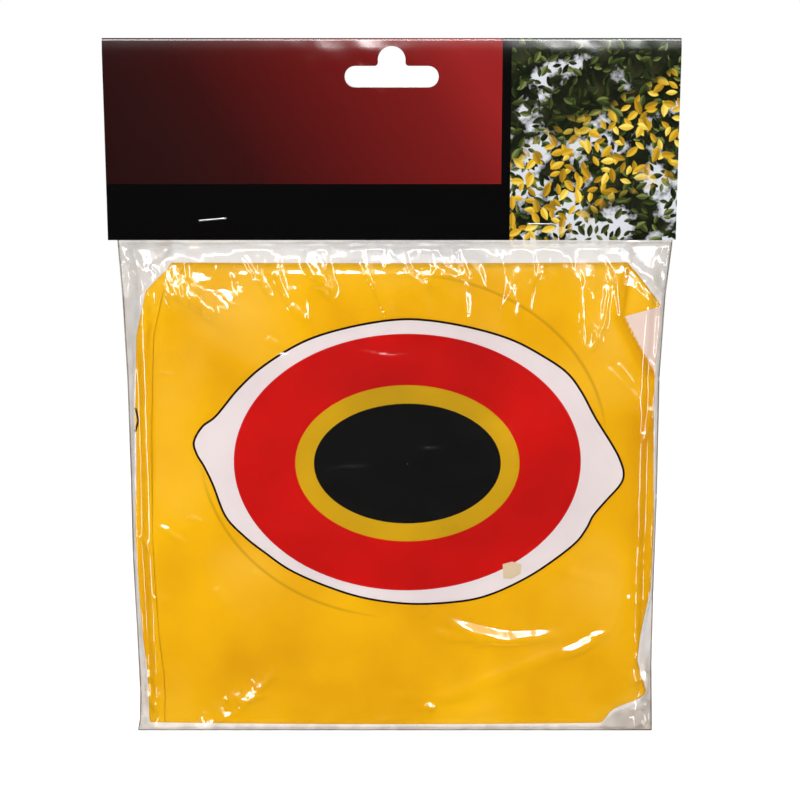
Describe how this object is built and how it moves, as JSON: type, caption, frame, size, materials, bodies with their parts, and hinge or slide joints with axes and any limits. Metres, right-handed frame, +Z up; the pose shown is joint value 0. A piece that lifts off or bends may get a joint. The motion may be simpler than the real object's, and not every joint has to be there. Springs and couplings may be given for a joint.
{
  "type": "bird scare balloon",
  "caption": "Deflated vinyl scare balloon with a printed eye, folded flat in a clear film bag that hangs from a folded header card closed by staples.",
  "frame": {"origin": "top of the hang slot's hump, where a single peg bears, midway between the card's two panels", "axes": "+Z up along the hanging pack, +X to the right seen from the front, +Y out of the back of the pack, so the printed front faces -Y"},
  "size_m": [0.254, 0.0247, 0.3219],
  "materials": {
    "printed_card": "gloss print",
    "staple_wire": "drawn wire",
    "clear_film": "clear blown film",
    "yellow_vinyl": "satin calendered sheet",
    "moulded_vinyl": "satin moulded",
    "black_ink": "screen print",
    "white_ink": "screen print",
    "red_ink": "screen print",
    "ring_ink": "screen print"
  },
  "bodies": {
    "header": {"header_card": "printed_card", "bag_neck": "clear_film", "staple_left": "staple_wire", "staple_right": "staple_wire"},
    "pouch": {"bag_pouch": "clear_film"},
    "balloon": {"gore_1": "yellow_vinyl", "gore_2": "yellow_vinyl", "gore_3": "yellow_vinyl", "gore_4": "yellow_vinyl", "gore_5": "yellow_vinyl", "gore_6": "yellow_vinyl", "eye_outline_ink": "black_ink", "eye_white_ink": "white_ink", "eye_red_ink": "red_ink", "eye_ring_ink": "ring_ink", "eye_pupil_ink": "black_ink", "pole_patch_valve": "yellow_vinyl", "pole_patch_hanger": "yellow_vinyl", "hang_tab": "moulded_vinyl", "valve_flange": "moulded_vinyl"},
    "stem": {"valve_stem": "moulded_vinyl"},
    "plug": {"valve_plug": "moulded_vinyl"},
    "flap": {"valve_check_flap": "moulded_vinyl"}
  },
  "joints": [
    {"name": "pouch_swing", "type": "hinge", "parent": "header", "child": "pouch", "pos_m": [0.0015, 0, -0.0855], "axis": [1, 0, 0], "range_deg": [-90, 90], "deforming": ["bag_pouch"]},
    {"name": "balloon_slide", "type": "slide", "parent": "pouch", "child": "balloon", "axis": [0, 0, 1], "range_m": [0, 0.006], "deforming": ["bag_pouch"]},
    {"name": "valve_pop", "type": "slide", "parent": "balloon", "child": "stem", "axis": [0, 1, 0], "range_m": [0, 0.0044], "deforming": ["bag_pouch"]},
    {"name": "plug_swing", "type": "hinge", "parent": "stem", "child": "plug", "pos_m": [0.01, 0.01482, -0.1106], "axis": [0, 0, -1], "range_deg": [0, 150], "deforming": ["bag_pouch"]},
    {"name": "flap_swing", "type": "hinge", "parent": "stem", "child": "flap", "pos_m": [-0.0027, 0.00573, -0.1106], "axis": [0, 0, -1], "range_deg": [0, 25]}
  ]
}
